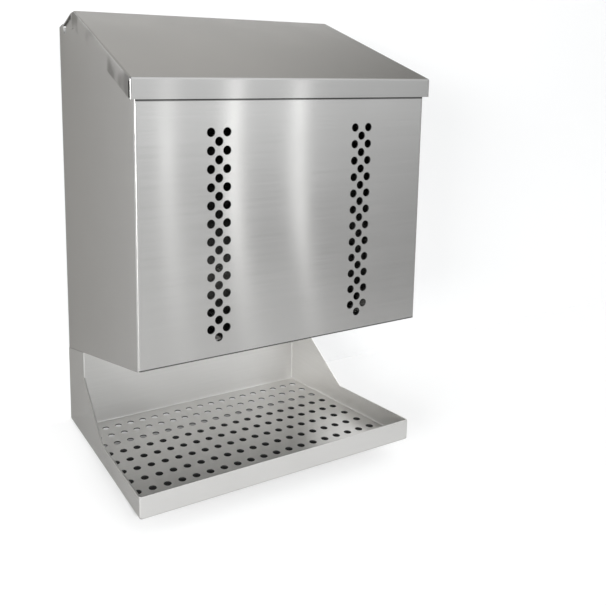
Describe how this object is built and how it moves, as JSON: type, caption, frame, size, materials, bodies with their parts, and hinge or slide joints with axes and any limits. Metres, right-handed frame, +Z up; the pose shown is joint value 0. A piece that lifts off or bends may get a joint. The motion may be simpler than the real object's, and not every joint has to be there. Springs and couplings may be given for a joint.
{
  "type": "disposable glove dispenser",
  "caption": "Wall-hung stainless glove dispenser: a sloped-lid bin with perforated sight strips above an open hand space and a shallow perforated catch tray.",
  "frame": {"origin": "middle of the four wall screw holes, on the wall plane", "axes": "+X across the front to the viewer's right, +Y back into the wall, +Z up; the front panel faces -Y"},
  "size_m": [0.412, 0.304, 0.6216],
  "materials": {
    "stainless_sheet": "brushed",
    "hinge_steel": "satin"
  },
  "bodies": {
    "cabinet": {"cabinet_wrap": "stainless_sheet", "back_panel": "stainless_sheet", "dispensing_floor": "stainless_sheet", "centre_divider": "stainless_sheet", "catch_tray": "stainless_sheet", "hinge_body_leaf": "hinge_steel", "hinge_pin": "hinge_steel"},
    "lid": {"lid": "stainless_sheet", "hinge_lid_leaf": "hinge_steel"}
  },
  "joints": [
    {"name": "lid_hinge", "type": "hinge", "parent": "cabinet", "child": "lid", "pos_m": [0, -0.0337, 0.2384], "axis": [-1, 0, 0], "range_deg": [0, 105]}
  ]
}
